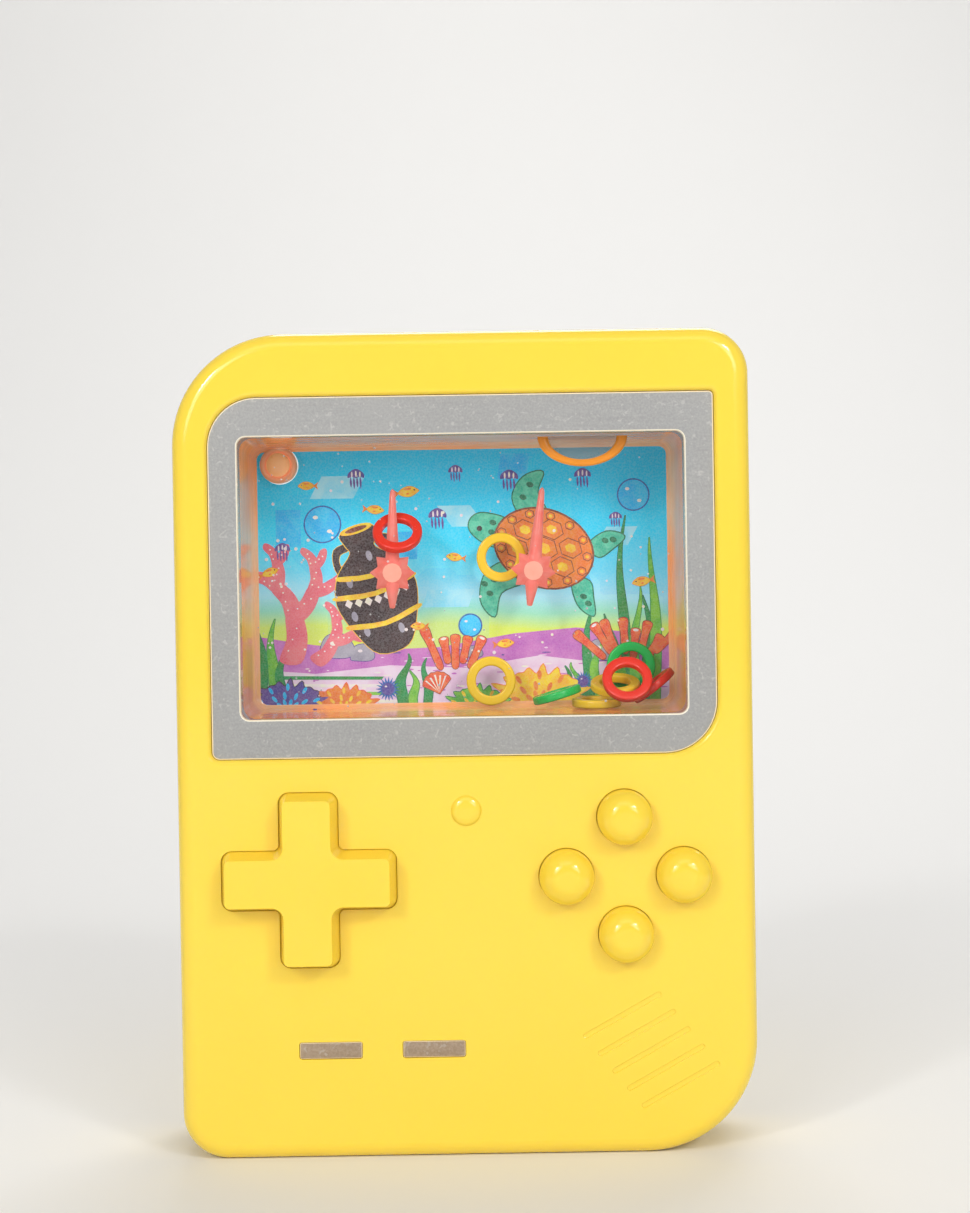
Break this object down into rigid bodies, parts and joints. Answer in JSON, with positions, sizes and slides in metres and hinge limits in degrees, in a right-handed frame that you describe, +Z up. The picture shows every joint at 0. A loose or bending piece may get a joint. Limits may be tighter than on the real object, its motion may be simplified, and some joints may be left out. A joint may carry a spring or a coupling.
{
  "type": "water ring toss game",
  "caption": "Hand-held water game shaped like a pocket console: press the cross pad or round buttons to blow the loose rings in the tank over the pegs.",
  "frame": {"origin": "centre of the bounding box's base, on the flat bottom edge that the toy stands on", "axes": "+X to the player's right, +Y from the screen towards the back, +Z up the face"},
  "size_m": [0.088, 0.0308, 0.1257],
  "materials": {
    "yellow_shell": "glossy moulded ABS",
    "yellow_button": "glossy moulded ABS",
    "silver_film": "satin silver lacquered film",
    "clear_tank": "clear polystyrene",
    "printed_card": "printed and varnished",
    "coral_peg": "translucent polystyrene",
    "ring_red": "moulded polyethylene",
    "ring_yellow": "moulded polyethylene",
    "ring_green": "moulded polyethylene",
    "soft_pump": "soft PVC",
    "white_pump": "moulded polypropylene",
    "peach_plug": "soft PVC",
    "screw_steel": "zinc plated"
  },
  "bodies": {
    "housing": {"front_shell": "yellow_shell", "rear_shell": "yellow_shell", "screen_bezel": "silver_film", "left_inlay": "silver_film", "right_inlay": "silver_film", "tank_lens": "clear_tank", "tank_tray": "clear_tank", "picture_card": "printed_card", "filler_neck": "peach_plug", "left_bellows": "soft_pump", "right_bellows": "soft_pump", "left_pump_base": "white_pump", "right_pump_base": "white_pump", "left_hose": "soft_pump", "right_hose": "soft_pump", "left_peg": "coral_peg", "right_peg": "coral_peg", "screw_top_left": "screw_steel", "screw_top_right": "screw_steel", "screw_bottom_left": "screw_steel", "screw_bottom_right": "screw_steel", "screw_middle": "screw_steel"},
    "pad": {"cross_pad": "yellow_button"},
    "buttons": {"round_buttons": "yellow_button"},
    "plug": {"filler_plug": "peach_plug"},
    "red_ring_on_peg": {"ring_red_on_peg": "ring_red"},
    "yellow_ring_by_peg": {"ring_yellow_by_peg": "ring_yellow"},
    "yellow_ring_centre": {"ring_yellow_centre": "ring_yellow"},
    "green_ring_back": {"ring_green_back": "ring_green"},
    "yellow_ring_flat": {"ring_yellow_flat": "ring_yellow"},
    "red_ring_at_wall": {"ring_red_at_wall": "ring_red"},
    "green_ring_leaning": {"ring_green_leaning": "ring_green"},
    "yellow_ring_on_heap": {"ring_yellow_on_heap": "ring_yellow"},
    "red_ring_front": {"ring_red_front": "ring_red"}
  },
  "joints": [
    {"name": "pad_press", "type": "slide", "parent": "housing", "child": "pad", "axis": [0, 1, 0], "range_m": [0, 0.0026], "stiffness_N_per_m": 500, "deforming": ["left_bellows"]},
    {"name": "buttons_press", "type": "slide", "parent": "housing", "child": "buttons", "axis": [0, 1, 0], "range_m": [0, 0.0026], "stiffness_N_per_m": 500, "deforming": ["right_bellows"]},
    {"name": "plug_pull", "type": "slide", "parent": "housing", "child": "plug", "axis": [0, 1, 0], "range_m": [0, 0.012]},
    {"name": "red_ring_off_peg", "type": "slide", "parent": "housing", "child": "red_ring_on_peg", "axis": [0, 0, 1], "range_m": [0, 0.01]},
    {"name": "yellow_ring_by_peg_lift", "type": "slide", "parent": "housing", "child": "yellow_ring_by_peg", "axis": [0, 0, 1], "range_m": [0, 0.01]},
    {"name": "yellow_ring_centre_lift", "type": "slide", "parent": "housing", "child": "yellow_ring_centre", "axis": [0, 0, 1], "range_m": [0, 0.01]},
    {"name": "green_ring_back_lift", "type": "slide", "parent": "housing", "child": "green_ring_back", "axis": [0, 0, 1], "range_m": [0, 0.014]},
    {"name": "heap_lift", "type": "slide", "parent": "housing", "child": "yellow_ring_flat", "axis": [0, 0, 1], "range_m": [0, 0.01]},
    {"name": "red_ring_at_wall_lift", "type": "slide", "parent": "housing", "child": "red_ring_at_wall", "axis": [0, 0, 1], "range_m": [0, 0.0105]},
    {"name": "green_ring_leaning_lift", "type": "slide", "parent": "housing", "child": "green_ring_leaning", "axis": [0, 0, 1], "range_m": [0, 0.0115]},
    {"name": "yellow_ring_on_heap_lift", "type": "slide", "parent": "housing", "child": "yellow_ring_on_heap", "axis": [0, 0, 1], "range_m": [0, 0.013]},
    {"name": "red_ring_front_lift", "type": "slide", "parent": "housing", "child": "red_ring_front", "axis": [0, 0, 1], "range_m": [0, 0.0155]}
  ],
  "couplings": [
    {"joint": "red_ring_at_wall_lift", "follows": "heap_lift", "ratio": 1},
    {"joint": "green_ring_leaning_lift", "follows": "heap_lift", "ratio": 1.1},
    {"joint": "yellow_ring_on_heap_lift", "follows": "heap_lift", "ratio": 1.25},
    {"joint": "red_ring_front_lift", "follows": "heap_lift", "ratio": 1.5}
  ]
}
